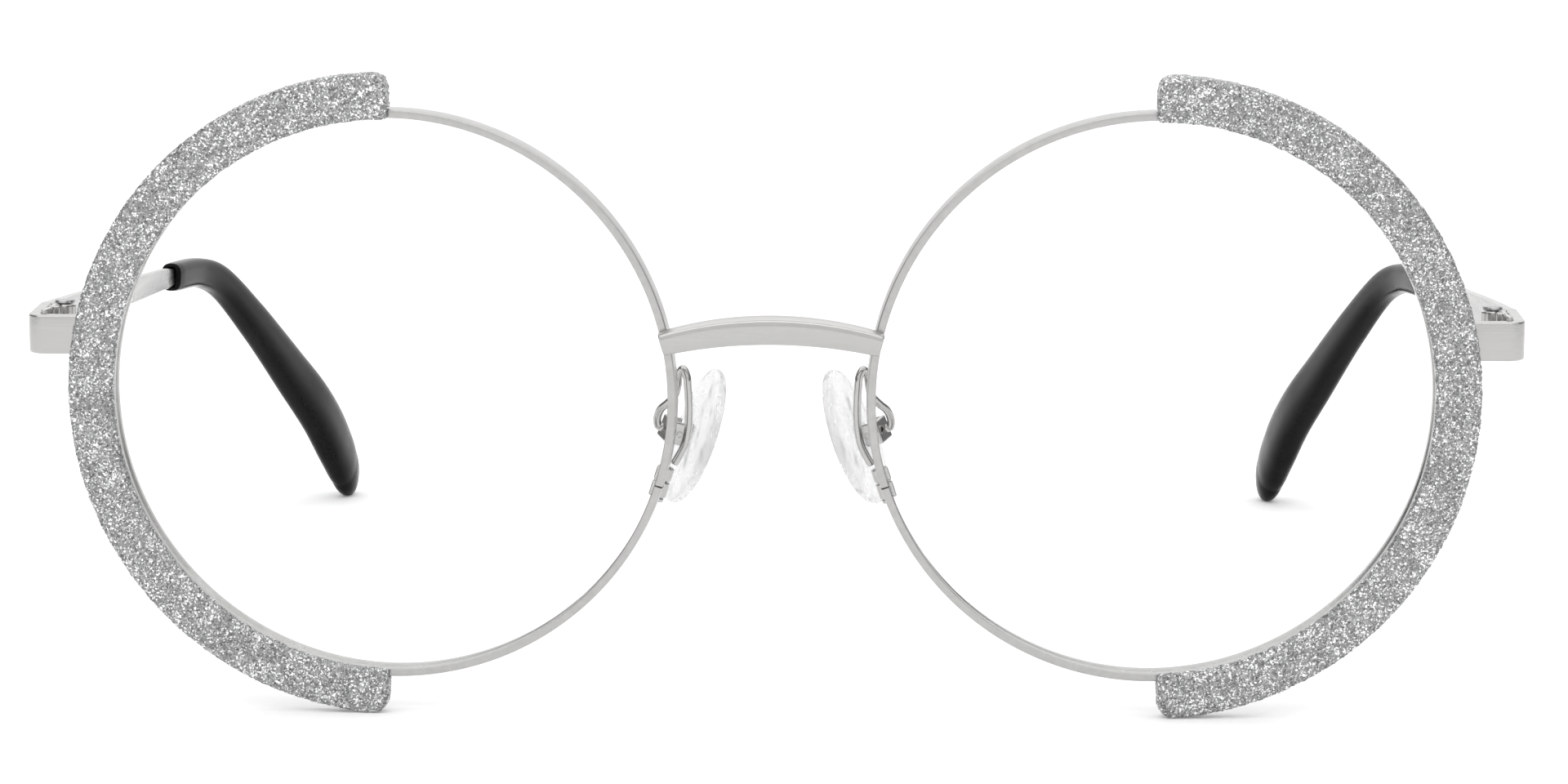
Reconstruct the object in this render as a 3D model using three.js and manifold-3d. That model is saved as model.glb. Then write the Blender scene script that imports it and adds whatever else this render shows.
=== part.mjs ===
// Round wire eyeglasses with glitter acetate crescents, open and standing on a table.
// Millimetres. +Z up, +X to the wearer's left, -Y is the way the wearer looks, so the temples run back along +Y.
// The origin is on the table, under the middle of the bounding box.
// Each side is drawn once, for +X, and mirrored for the wearer's right.
import * as THREE from "three";
import { mergeVertices } from "three/addons/utils/BufferGeometryUtils.js";
import Module from "manifold-3d";

const wasm = await Module();
wasm.setup();
const rad = THREE.MathUtils.degToRad;

// ---- driving dimensions ----
const RIM_R = 26.95; // outer radius of the eyewire
const RIM_IN = 26.15; // inner radius of the eyewire's lips
const RIM_DEPTH = 2.5; // front to back
const GROOVE_R = 26.66; // bottom of the lens groove
const HALF_C = 35.8; // half the distance between the rims' centres
const RIM_Z = 30.33; // height of the rims' centres over the table
const TILT = rad(2.4); // the front's top leans forward
const WRAP = rad(3.35); // each rim turns back towards its temple
const Y_MID = 64.46; // from the front plane to the middle of the bounding box
const LENS_R = 26.4; // tip of the lens bevel
const LENS_SPHERE = 165; // radius of the lens's front surface
const LENS_T = 1.6; // lens thickness
const CRES_OUT = 30.4; // crescent's outer radius
const CRES_IN = 26.05; // crescent's inner radius
const CRES_FRONT = -1.0; // crescent's front face
const CRES_BACK = 1.6; // crescent's back face
const CRES_TOP = 90.4; // crescent's upper end, degrees round the rim from the temple side
const CRES_LOW = -89.1; // crescent's lower end
const SPLIT = rad(198); // where the eyewire is split for the closing block
const BRIDGE_HALF = 10.25;
const BRIDGE_H = 2.72; // in the middle
const BRIDGE_END = 2.25; // at its ends
const BRIDGE_T = 1.25;
const BRIDGE_Z = 5.45; // middle of the bridge over the rims' centres, at its ends
const BRIDGE_RISE = 1.42;
const END_X = 70.4; // outer face of the end piece
const END_H = 3.7;
const END_T = 1.1;
const END_Z = 5.05; // end piece's middle over the rims' centres
const END_Y = 3.5; // end piece's front face
const HINGE_Y = 11.0;
const HINGE_X = 68.05;
const HINGE_LEAN = rad(5.7); // the temple slopes down this much from square to the front
const BARREL_R = 1.15;
const GAP = 0.08; // between pieces that are soldered, pressed or glued together
const WIRE_R = 0.38; // pad arm

// ---- materials ----
const std = (color, roughness, metalness, extra = {}) =>
  new THREE.MeshStandardMaterial({ color, roughness, metalness, ...extra });
const M = {
  silver: std(0xc9c8c6, 0.22, 1.0),
  brushed: std(0xcfcecb, 0.32, 1.0),
  screw: std(0xb4b3b0, 0.3, 1.0),
  glitter: std(0x9b9d9d, 0.35, 0.35),
  lens: std(0xf6f9fa, 0.03, 0.0, { transparent: true, opacity: 0.15 }),
  silicone: std(0xf2f3f3, 0.12, 0.0, { transparent: true, opacity: 0.45 }),
  core: std(0xe6e8e8, 0.25, 0.0, { transparent: true, opacity: 0.6 }),
  black: std(0x141416, 0.42, 0.0),
};

// ---- helpers ----
function solid(g, matrix) {
  let geo = g.index ? g.toNonIndexed() : g.clone();
  for (const k of Object.keys(geo.attributes)) if (k !== "position") geo.deleteAttribute(k);
  if (matrix) geo.applyMatrix4(matrix);
  geo = mergeVertices(geo, 1e-4);
  return new wasm.Manifold(
    new wasm.Mesh({ numProp: 3, vertProperties: geo.attributes.position.array, triVerts: new Uint32Array(geo.index.array) }),
  );
}
function geometry(s) {
  const m = s.getMesh();
  const g = new THREE.BufferGeometry();
  const v = new Float32Array(m.numVert * 3);
  for (let i = 0; i < m.numVert; i++) v.set(m.vertProperties.subarray(i * m.numProp, i * m.numProp + 3), i * 3);
  g.setAttribute("position", new THREE.BufferAttribute(v, 3));
  g.setIndex(new THREE.BufferAttribute(m.triVerts, 1));
  return g;
}
const place = (s, m) => {
  const g = geometry(s);
  g.applyMatrix4(m);
  return g;
};
const at = (x, y, z) => new THREE.Matrix4().makeTranslation(x, y, z);
const turn = (axis, a) => new THREE.Matrix4().makeRotationAxis(axis, a);
const X = new THREE.Vector3(1, 0, 0),
  Y = new THREE.Vector3(0, 1, 0),
  Z = new THREE.Vector3(0, 0, 1);
const V = (x, y, z) => new THREE.Vector3(x, y, z);
// a box between two corners
const block = (x0, y0, z0, x1, y1, z1) =>
  solid(new THREE.BoxGeometry(x1 - x0, y1 - y0, z1 - z0), at((x0 + x1) / 2, (y0 + y1) / 2, (z0 + z1) / 2));
// an upright cylinder
const post = (x, y, z0, z1, r0, r1 = r0, n = 16) =>
  solid(new THREE.CylinderGeometry(r1, r0, z1 - z0, n), at(x, y, (z0 + z1) / 2).multiply(turn(X, Math.PI / 2)));
// a ring round the Y axis from a closed section of [radius, y]
function ring(section, n) {
  const pts = section.map(([r, y]) => new THREE.Vector2(r, y));
  if (section[0][0] > 0) pts.push(pts[0].clone());
  return new THREE.LatheGeometry(pts, n);
}
const squarer = (v, pow) => (Math.abs(v) < 1e-4 ? 0 : Math.sign(v) * Math.pow(Math.abs(v), pow));
// a closed loft: a capped cylinder whose rings are carried along a path.
// path(t) gives a point, half(t) the two half sizes, pow the squareness of the section.
function loft(path, half, nRound, nLong, pow = 0.6, side = X) {
  const g = new THREE.CylinderGeometry(1, 1, 1, nRound, nLong);
  const p = g.attributes.position;
  const cache = new Map();
  for (let i = 0; i < p.count; i++) {
    const t = Math.min(1, Math.max(0, p.getY(i) + 0.5));
    const key = t.toFixed(6);
    if (!cache.has(key)) {
      const c = path(t),
        a = path(Math.max(0, t - 1e-3)),
        b = path(Math.min(1, t + 1e-3));
      const T = b.sub(a).normalize();
      const U = side.clone().addScaledVector(T, -side.dot(T)).normalize();
      cache.set(key, { c, U, W: new THREE.Vector3().crossVectors(U, T), h: half(t) });
    }
    const { c, U, W, h } = cache.get(key);
    const r = Math.hypot(p.getX(i), p.getZ(i)) > 0.5 ? 1 : 0;
    const th = Math.atan2(p.getZ(i), p.getX(i));
    const cu = squarer(Math.cos(th), pow);
    const su = squarer(Math.sin(th), pow);
    const q = c.clone().addScaledVector(U, r * h[0] * cu).addScaledVector(W, r * h[1] * su);
    p.setXYZ(i, q.x, q.y, q.z);
  }
  return g;
}
// values read off a list of [t, a, b] rows, eased between them
function table(rows) {
  return (t) => {
    let i = 0;
    while (i < rows.length - 2 && t > rows[i + 1][0]) i++;
    const [t0, ...a] = rows[i],
      [t1, ...b] = rows[i + 1];
    const u = Math.min(1, Math.max(0, (t - t0) / (t1 - t0)));
    return a.map((v, k) => v + (b[k] - v) * u);
  };
}
function mesh(name, geo, material) {
  const m = new THREE.Mesh(geo, material);
  m.name = name;
  return m;
}

// ---- the eyewire: a grooved ring, split at the closing block ----
const rimRing = solid(
  ring([[RIM_IN, 0], [RIM_R - 0.3, 0], [RIM_R, 0.5], [RIM_R, 1.9], [RIM_R - 0.3, RIM_DEPTH], [RIM_IN, RIM_DEPTH], [RIM_IN, 1.75], [GROOVE_R, 1.25], [RIM_IN, 0.75]], 72),
);
const splitCut = solid(
  new THREE.BoxGeometry(4, 6, 0.14),
  turn(Y, -SPLIT).multiply(at(RIM_R, 1, 0)),
);
const rimGeo = geometry(rimRing.subtract(splitCut));

// ---- the lens: a thin meniscus with a bevelled edge ----
const sag = (r) => r * r / (2 * LENS_SPHERE);
const S0 = 0.45 - sag(25.75); // front surface's middle
const lensGeo = ring(
  [[0, S0], [9, S0 + sag(9)], [17.5, S0 + sag(17.5)], [25.75, 0.45], [LENS_R, 1.25], [25.75, 0.45 + LENS_T], [17.5, S0 + LENS_T + sag(17.5)], [9, S0 + LENS_T + sag(9)], [0, S0 + LENS_T]],
  48,
);

// ---- the crescent: a bevelled plate round the outer half of the rim, rebated behind for the eyewire ----
function crescent() {
  const a0 = rad(CRES_LOW),
    a1 = rad(CRES_TOP);
  const b = 0.45; // bevel
  const ro = CRES_OUT - b,
    ri = CRES_IN + b;
  const c = 1.2; // corner radius at the ends
  const s = new THREE.Shape();
  const P = (r, a) => [r * Math.cos(a), r * Math.sin(a)];
  const n = 34,
    da = b / ro;
  const lo = a0 + da,
    hi = a1 - da;
  s.moveTo(...P(ri, lo));
  s.lineTo(...P(ro - c, lo));
  s.quadraticCurveTo(...P(ro, lo), ...P(ro, lo + c / ro));
  for (let i = 1; i < n; i++) s.lineTo(...P(ro, lo + c / ro + ((hi - lo - (2 * c) / ro) * i) / n));
  s.lineTo(...P(ro, hi - c / ro));
  s.quadraticCurveTo(...P(ro, hi), ...P(ro - c, hi));
  s.lineTo(...P(ri, hi));
  for (let i = 1; i < n; i++) s.lineTo(...P(ri, hi + ((lo - hi) * i) / n));
  s.closePath();
  const g = new THREE.ExtrudeGeometry(s, {
    depth: CRES_BACK - CRES_FRONT - 2 * b,
    bevelEnabled: true,
    bevelThickness: b,
    bevelSize: b,
    bevelOffset: 0,
    bevelSegments: 2,
    curveSegments: 4,
  });
  // the shape's plane stands upright: its Y goes to Z and it is extruded towards the front
  const plate = solid(g, at(0, CRES_BACK - b, 0).multiply(turn(X, Math.PI / 2)));
  const seat = solid(ring([[20, -0.25], [RIM_R + 0.12, -0.25], [RIM_R + 0.12, 6], [20, 6]], 72));
  const lensRoom = solid(ring([[0, -8], [CRES_IN - 0.1, -8], [CRES_IN - 0.1, 6], [0, 6]], 72));
  return geometry(plate.subtract(seat).subtract(lensRoom));
}
const crescentGeo = crescent();

// ---- closing block: a split barrel behind the eyewire, with its screw ----
// its own frame: x outwards from the rim's centre, y back, z along the rim
const blockFrame = turn(Y, -SPLIT).multiply(at(RIM_R - 0.3, RIM_DEPTH + 0.84, 0));
const BLOCK_R = 0.72;
function barrel(z0, z1, bore) {
  return solid(new THREE.CylinderGeometry(BLOCK_R, BLOCK_R, z1 - z0, 14), at(0, 0, (z0 + z1) / 2).multiply(turn(X, Math.PI / 2))).subtract(
    solid(new THREE.CylinderGeometry(bore, bore, 12, 12), turn(X, Math.PI / 2)),
  );
}
const SCREW_R = 0.34;
// for the +X side the eyewire's upper end is on the block's -z side, because its frame is turned past the half circle
const blockUpper = place(barrel(-1.35, -0.07, SCREW_R + 0.05), blockFrame);
const blockLower = place(barrel(0.07, 1.6, SCREW_R + 0.05), blockFrame);
const blockScrew = place(
  solid(new THREE.CylinderGeometry(SCREW_R, SCREW_R, 3.0, 12), at(0, 0, 0.35).multiply(turn(X, Math.PI / 2))).add(
    solid(new THREE.CylinderGeometry(0.6, 0.6, 0.4, 14), at(0, 0, 1.87).multiply(turn(X, Math.PI / 2))),
  ),
  blockFrame,
);

// ---- nose pad frame ----
const PAD_C = V(7.45, 7.9, -5.15);
const PAD_N = V(-0.88, 0.44, -0.32).normalize(); // towards the nose
const PAD_L = V(-0.42, 0, 0.905);
PAD_L.addScaledVector(PAD_N, -PAD_L.dot(PAD_N)).normalize(); // along the pad, upwards
const PAD_S = new THREE.Vector3().crossVectors(PAD_L, PAD_N).normalize(); // across the pad
// frame with x = across, y = out of the pad's back (away from the nose), z = along
const padFrame = new THREE.Matrix4().makeBasis(
  PAD_S,
  PAD_N.clone().negate(),
  new THREE.Vector3().crossVectors(PAD_S, PAD_N.clone().negate()),
);
padFrame.setPosition(PAD_C);

// ---- nose pad: a soft oval lens-shaped cushion ----
function padGeometry() {
  const g = new THREE.SphereGeometry(1, 22, 12);
  const p = g.attributes.position;
  for (let i = 0; i < p.count; i++) {
    // flattened along y; the rim of the pad is a rounded D, narrower at the top
    let x = p.getX(i),
      y = p.getY(i),
      z = p.getZ(i);
    const k = 1 - 0.1 * z; // narrower towards +z
    const r = Math.hypot(x, z);
    const f = Math.pow(Math.max(0, 1 - r * r), 0.33) * Math.sign(y || 1);
    p.setXYZ(i, x * 3.65 * k, (Math.abs(y) < 1e-6 ? 0 : f * (y < 0 ? 1.25 : 0.95)) + 0.25 * (x * x + z * z), z * 6.8);
  }
  return g;
}
const padBody = solid(padGeometry());
const padSocket = solid(new THREE.BoxGeometry(1.5, 1.2, 2.3), at(0, 1.05, 0));
const padGeo = place(padBody.subtract(padSocket), padFrame);
// the pad's hard core: a foot inside the silicone and a lug with the screw hole
const lug = solid(new THREE.BoxGeometry(1.34, 0.9, 2.14), at(0, 1.0, 0))
  .add(solid(new THREE.BoxGeometry(1.0, 1.9, 1.3), at(0, 1.9, 0)))
  .subtract(solid(new THREE.CylinderGeometry(0.36, 0.36, 4, 12), at(0, 2.25, 0).multiply(turn(Z, Math.PI / 2))));
const lugGeo = place(lug, padFrame);
// pad box: a small channel open towards the pad, on the end of the arm
const boxSolid = solid(new THREE.BoxGeometry(2.2, 1.9, 2.2), at(0, 2.55, 0))
  .subtract(solid(new THREE.BoxGeometry(1.2, 1.9, 3), at(0, 2.1, 0)))
  .subtract(solid(new THREE.CylinderGeometry(0.36, 0.36, 4, 12), at(0, 2.25, 0).multiply(turn(Z, Math.PI / 2))));
const padBoxGeo = place(boxSolid, padFrame);
const padScrewGeo = place(
  solid(new THREE.CylinderGeometry(0.3, 0.3, 2.5, 12), at(-0.1, 2.25, 0).multiply(turn(Z, Math.PI / 2))).add(
    solid(new THREE.CylinderGeometry(0.58, 0.58, 0.35, 14), at(-1.36, 2.25, 0).multiply(turn(Z, Math.PI / 2))),
  ),
  padFrame,
);

// ---- pad arm: a wire from the closing block, up behind the rim, over a hairpin and round a loop to the pad box ----
const armEnd = PAD_C.clone().addScaledVector(PAD_N, -3.62);
const armPath = new THREE.CatmullRomCurve3(
  [
    V(9.32, 2.05, -6.75),
    V(8.85, 2.2, -6.0),
    V(8.3, 2.4, -4.9),
    V(7.98, 2.55, -3.3),
    V(7.9, 2.65, -1.5),
    V(7.98, 2.75, 0.4),
    V(8.12, 2.85, 1.6),
    V(8.46, 3.1, 2.2),
    V(8.84, 3.4, 1.6),
    V(9.02, 3.7, 0.4),
    V(9.3, 4.05, -0.5),
    V(9.95, 4.55, -1.3),
    V(10.65, 5.15, -2.0),
    V(11.05, 5.75, -3.0),
    V(11.0, 6.15, -3.8),
    armEnd.clone().add(V(0.4, -0.2, 0.16)),
    armEnd,
  ],
  false,
  "centripetal",
);
const armGeo = loft((t) => armPath.getPoint(t), () => [WIRE_R, WIRE_R], 8, 52, 1.0, V(0.3, 1, 0.05).normalize());

// ---- bridge: a flat arched bar laid across the fronts of both rims ----
function bridgeGeometry() {
  const R = (BRIDGE_HALF ** 2 + BRIDGE_RISE ** 2) / (2 * BRIDGE_RISE);
  const aMax = Math.asin(BRIDGE_HALF / R);
  const zc = BRIDGE_Z + BRIDGE_RISE - R;
  const path = (t) => {
    const a = (t * 2 - 1) * aMax;
    // the bar bows slightly forward between the rims
    return V(R * Math.sin(a), -2.2 - 0.55 * Math.cos((t * 2 - 1) * Math.PI * 0.5), zc + R * Math.cos(a));
  };
  const tall = (t) => BRIDGE_END + (BRIDGE_H - BRIDGE_END) * (1 - (t * 2 - 1) ** 2);
  return loft(path, (t) => [tall(t) / 2, BRIDGE_T / 2], 14, 26, 0.35, Z);
}

// ---- hinge frame: at the pin, leaning so that the folded temple lies level behind the front ----
// inside it x is outwards, y along the temple and z along the pin
const hingeFrame = at(HINGE_X, HINGE_Y, END_Z).multiply(turn(X, -HINGE_LEAN));
const inner = END_X - END_T - GAP - HINGE_X; // the leaves lie on the strips' inner faces
const outerX = END_X - HINGE_X;

// ---- end piece: an L-shaped lug from the rim, turned back to the hinge ----
const zE0 = END_Z - END_H / 2;
function endPiece() {
  const s = new THREE.Shape();
  const r = 1.0; // outer corner
  s.moveTo(61.2, END_Y);
  s.lineTo(END_X - r, END_Y);
  s.quadraticCurveTo(END_X, END_Y, END_X, END_Y + r);
  s.lineTo(END_X, HINGE_Y + 2);
  s.lineTo(END_X - END_T, HINGE_Y + 2);
  s.lineTo(END_X - END_T, END_Y + END_T + 0.25);
  s.lineTo(END_X - END_T - 0.25, END_Y + END_T);
  s.lineTo(61.2, END_Y + END_T);
  s.closePath();
  const body = solid(new THREE.ExtrudeGeometry(s, { depth: END_H, bevelEnabled: false, curveSegments: 6 }), at(0, 0, zE0));
  const rimRoom = solid(
    ring([[0, -3], [RIM_R + GAP, -3], [RIM_R + GAP, 8], [0, 8]], 72),
    at(HALF_C, 0, 0).multiply(turn(Z, WRAP)),
  );
  const behind = solid(new THREE.BoxGeometry(12, 12, 12), hingeFrame.clone().multiply(at(0, 6 - 0.4, 0)));
  return geometry(body.subtract(rimRoom).subtract(behind));
}

// ---- hinge: two knuckles on the front, one on the temple ----
const pinBore = post(0, 0, -4, 4, 0.6);
function hingeFront() {
  let s = block(inner - 0.5, -6.2, -1.6, inner, -1.6, 1.6);
  for (const [a, b] of [[0.62, 1.7], [-1.7, -0.62]]) {
    s = s.add(post(0, 0, a, b, BARREL_R));
    s = s.add(block(-0.4, -2.2, a, inner, -0.3, b));
  }
  return place(s.subtract(pinBore), hingeFrame);
}
function hingeTemple() {
  let s = block(inner - 0.5, 1.6, -1.4, inner, 7.0, 1.4);
  s = s.add(post(0, 0, -0.52, 0.52, BARREL_R));
  s = s.add(block(-0.4, 0.3, -0.52, inner, 2.4, 0.52));
  return place(s.subtract(pinBore), hingeFrame);
}
const hingeScrew = place(
  post(0, 0, -1.95, 1.8, 0.53).add(post(0, 0, 1.76, 2.12, 0.95)),
  hingeFrame,
);

// ---- temple: a flat spring-metal strip that narrows towards the back and ends in a core wire inside the tip ----
// in the front's own frame, so the strip meets the end piece face to face; it runs down and back
const FRONT = new THREE.Matrix4().makeTranslation(0, -Y_MID, RIM_Z).multiply(turn(X, TILT));
const toFront = FRONT.clone().invert();
const W = (x, y, z) => V(x, y - Y_MID, z).applyMatrix4(toFront); // a point over the table, put in the front's frame
const inHinge = (x, y, z) => V(x, y, z).applyMatrix4(hingeFrame);
const templePath = new THREE.CatmullRomCurve3(
  [
    inHinge(outerX - END_T / 2, -0.1, 0),
    inHinge(outerX - END_T / 2, 7.4, 0),
    W(69.65, 34, 34.65),
    W(69.3, 60, 33.2),
    W(68.9, 82, 31.9),
    W(67.5, 92.5, 31.2),
    W(66.05, 98.6, 29.5),
    W(63.4, 106.5, 24.1),
    W(60.4, 115.0, 17.2),
    W(57.75, 122.0, 11.0),
    W(56.75, 125.2, 7.95),
  ],
  false,
  "centripetal",
);
// lengths along the path, so that sizes go by millimetres
const pathLength = templePath.getLength();
const COVER_AT = 70.5 / pathLength; // where the tip cover starts
const templeHalf = table([
  [0, END_T / 2, END_H / 2],
  [8 / pathLength, END_T / 2, END_H / 2 - 0.05],
  [30 / pathLength, 0.5, 1.45],
  [COVER_AT - 0.02, 0.45, 1.12],
  [COVER_AT + 0.02, 0.42, 0.8],
  [1, 0.4, 0.6],
]);
const templeGeo = loft((t) => templePath.getPointAt(t), templeHalf, 12, 54, 0.3);

// ---- temple tip: a moulded cover that swells into a paddle behind the ear ----
const tipPath = new THREE.CatmullRomCurve3(
  [
    W(68.9, 82, 31.9),
    W(67.5, 92.5, 31.2),
    W(66.05, 98.6, 29.5),
    W(63.4, 106.5, 24.1),
    W(60.4, 115.0, 17.2),
    W(57.75, 122.0, 11.0),
    W(55.75, 129.0, 3.75),
    W(55.2, 131.75, 0.5),
  ],
  false,
  "centripetal",
);
const tipHalfRows = [
  [0.0, 1.1, 1.5],
  [0.012, 1.2, 1.58],
  [0.16, 1.25, 1.62],
  [0.3, 1.4, 1.9],
  [0.5, 1.6, 2.5],
  [0.7, 1.8, 3.25],
  [0.84, 1.85, 3.7],
  [0.91, 1.75, 3.6],
  [0.955, 1.5, 3.0],
  [0.985, 1.05, 2.0],
  [1.0, 0.4, 0.8],
];
const tipOuter = solid(loft((t) => tipPath.getPointAt(t), table(tipHalfRows), 14, 44, 0.72));
const coreRoom = solid(
  loft((t) => templePath.getPointAt(t), (t) => templeHalf(t).map((v) => v + 0.07), 12, 54, 0.3),
);
const tipGeo = geometry(tipOuter.subtract(coreRoom));

// ---- assembly ----
const glasses = new THREE.Group();
const front = new THREE.Group();
front.position.set(0, -Y_MID, RIM_Z);
front.rotation.x = TILT;
glasses.add(front);
front.add(mesh("bridge", bridgeGeometry(), M.brushed));
for (const [name, mirror] of [["left", 1], ["right", -1]]) {
  const side = new THREE.Group();
  side.scale.x = mirror;
  front.add(side);
  const eye = new THREE.Group(); // turned back by the wrap
  eye.position.x = HALF_C;
  eye.rotation.z = WRAP;
  side.add(eye);
  eye.add(mesh(name + "_rim", rimGeo, M.silver));
  eye.add(mesh(name + "_lens", lensGeo, M.lens));
  eye.add(mesh(name + "_crescent", crescentGeo, M.glitter));
  eye.add(mesh(name + "_closing_block_upper", blockUpper, M.silver));
  eye.add(mesh(name + "_closing_block_lower", blockLower, M.silver));
  eye.add(mesh(name + "_closing_screw", blockScrew, M.screw));
  side.add(mesh(name + "_pad_arm", armGeo, M.silver));
  side.add(mesh(name + "_pad_box", padBoxGeo, M.silver));
  side.add(mesh(name + "_nose_pad", padGeo, M.silicone));
  side.add(mesh(name + "_pad_core", lugGeo, M.core));
  side.add(mesh(name + "_pad_screw", padScrewGeo, M.screw));
  side.add(mesh(name + "_end_piece", endPiece(), M.brushed));
  side.add(mesh(name + "_hinge_front", hingeFront(), M.silver));
  side.add(mesh(name + "_hinge_temple", hingeTemple(), M.silver));
  side.add(mesh(name + "_hinge_screw", hingeScrew, M.screw));
  side.add(mesh(name + "_temple", templeGeo, M.brushed));
  side.add(mesh(name + "_temple_tip", tipGeo, M.black));
}

export default glasses;
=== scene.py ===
# Round wire eyeglasses: the looks. Everything is built in millimetres in the CAD's own local frames,
# then moved to the row frame and scaled to metres.
import math
import random

import bmesh
import bpy
import numpy as np
from mathutils import Matrix, Vector, kdtree


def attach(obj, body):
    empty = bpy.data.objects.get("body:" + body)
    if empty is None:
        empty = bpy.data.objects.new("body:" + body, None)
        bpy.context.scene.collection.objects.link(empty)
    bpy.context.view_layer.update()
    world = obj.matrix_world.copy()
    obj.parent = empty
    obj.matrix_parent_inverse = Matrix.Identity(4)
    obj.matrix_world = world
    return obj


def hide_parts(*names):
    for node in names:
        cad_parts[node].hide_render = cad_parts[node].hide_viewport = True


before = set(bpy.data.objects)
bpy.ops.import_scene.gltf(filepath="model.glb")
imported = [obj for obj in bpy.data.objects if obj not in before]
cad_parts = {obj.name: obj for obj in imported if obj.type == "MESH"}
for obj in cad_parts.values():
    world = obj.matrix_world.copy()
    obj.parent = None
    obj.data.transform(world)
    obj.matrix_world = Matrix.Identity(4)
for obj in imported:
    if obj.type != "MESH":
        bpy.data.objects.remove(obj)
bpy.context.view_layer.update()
rad = math.radians

# ------------------------------------------------------------------ sizes, as in the CAD
RIM_R, RIM_IN, RIM_DEPTH = 26.95, 26.15, 2.5
HALF_C, RIM_Z, TILT, WRAP, Y_MID = 35.8, 30.33, rad(2.4), rad(3.35), 64.46
LENS_R, LENS_FLAT, LENS_SPHERE, LENS_T = 26.4, 25.75, 165.0, 1.6
SPLIT = rad(198)
BRIDGE_HALF, BRIDGE_H, BRIDGE_END, BRIDGE_T, BRIDGE_Z, BRIDGE_RISE = 10.25, 2.72, 2.25, 1.25, 5.45, 1.42
END_X, END_H, END_T, END_Z, END_Y = 70.4, 3.7, 1.1, 5.05, 3.5
HINGE_Y, HINGE_X, HINGE_LEAN, BARREL_R = 11.0, 68.05, rad(5.7), 1.15
GAP, WIRE_R, BLOCK_R, SCREW_R = 0.08, 0.38, 0.72, 0.34


# ------------------------------------------------------------------ matrices
def T(x, y, z):
    m = np.eye(4)
    m[:3, 3] = (x, y, z)
    return m


def R(axis, a):
    c, s = math.cos(a), math.sin(a)
    m = np.eye(4)
    i, j = {"x": (1, 2), "y": (2, 0), "z": (0, 1)}[axis]
    m[i, i] = m[j, j] = c
    m[j, i], m[i, j] = s, -s
    return m


def move(v, m):
    v = np.asarray(v, float)
    return v @ m[:3, :3].T + m[:3, 3]


FRONT = T(0, -Y_MID, RIM_Z) @ R("x", TILT)
EYE = FRONT @ T(HALF_C, 0, 0) @ R("z", WRAP)
HINGE_L = T(HINGE_X, HINGE_Y, END_Z) @ R("x", -HINGE_LEAN)
HINGE = FRONT @ HINGE_L
BLOCK = EYE @ R("y", -SPLIT) @ T(RIM_R - 0.3, RIM_DEPTH + 0.84, 0)
unit = lambda v: np.asarray(v, float) / np.linalg.norm(v)
PAD_C = np.array([7.45, 7.9, -5.15])
PAD_N = unit([-0.88, 0.44, -0.32])
PAD_L = np.array([-0.42, 0, 0.905])
PAD_L = unit(PAD_L - PAD_N * PAD_L.dot(PAD_N))
PAD_S = unit(np.cross(PAD_L, PAD_N))
PADF = np.eye(4)
PADF[:3, 0], PADF[:3, 1], PADF[:3, 2], PADF[:3, 3] = PAD_S, -PAD_N, np.cross(PAD_S, -PAD_N), PAD_C
PAD = FRONT @ PADF


# ------------------------------------------------------------------ curves and sections
class Curve:
    """Centripetal Catmull-Rom through points, as the CAD draws it."""

    def __init__(self, pts):
        p = np.asarray(pts, float)
        self.p = np.vstack([2 * p[0] - p[1], p, 2 * p[-1] - p[-2]])
        self.n = len(p) - 1
        t = np.linspace(0, 1, 200 * self.n // 10 * 10 + 1)
        q = self.point(t)
        d = np.r_[0, np.cumsum(np.linalg.norm(np.diff(q, axis=0), axis=1))]
        self.length, self.tt, self.dd = d[-1], t, d / d[-1]

    def point(self, t):
        t = np.clip(np.atleast_1d(t), 0, 1) * self.n
        i = np.minimum(t.astype(int), self.n - 1)
        w = (t - i)[:, None]
        p0, p1, p2, p3 = (self.p[i + k] for k in range(4))
        d0, d1, d2 = (np.maximum(np.linalg.norm(b - a, axis=1), 1e-6)[:, None] ** 0.5 for a, b in ((p0, p1), (p1, p2), (p2, p3)))
        m1 = ((p1 - p0) / d0 - (p2 - p0) / (d0 + d1) + (p2 - p1) / d1) * d1
        m2 = ((p2 - p1) / d1 - (p3 - p1) / (d1 + d2) + (p3 - p2) / d2) * d1
        return p1 + m1 * w + (-3 * p1 + 3 * p2 - 2 * m1 - m2) * w**2 + (2 * p1 - 2 * p2 + m1 + m2) * w**3

    def at(self, u):
        """By arc length, 0 to 1."""
        return self.point(np.interp(np.atleast_1d(u), self.dd, self.tt))


def frames(P, side):
    """Tangent, side and third axes along a polyline."""
    Tn = np.gradient(P, axis=0)
    Tn /= np.linalg.norm(Tn, axis=1)[:, None]
    side = np.asarray(side, float)
    U = side - Tn * (Tn @ side)[:, None]
    U /= np.linalg.norm(U, axis=1)[:, None]
    return Tn, U, np.cross(U, Tn)


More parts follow.
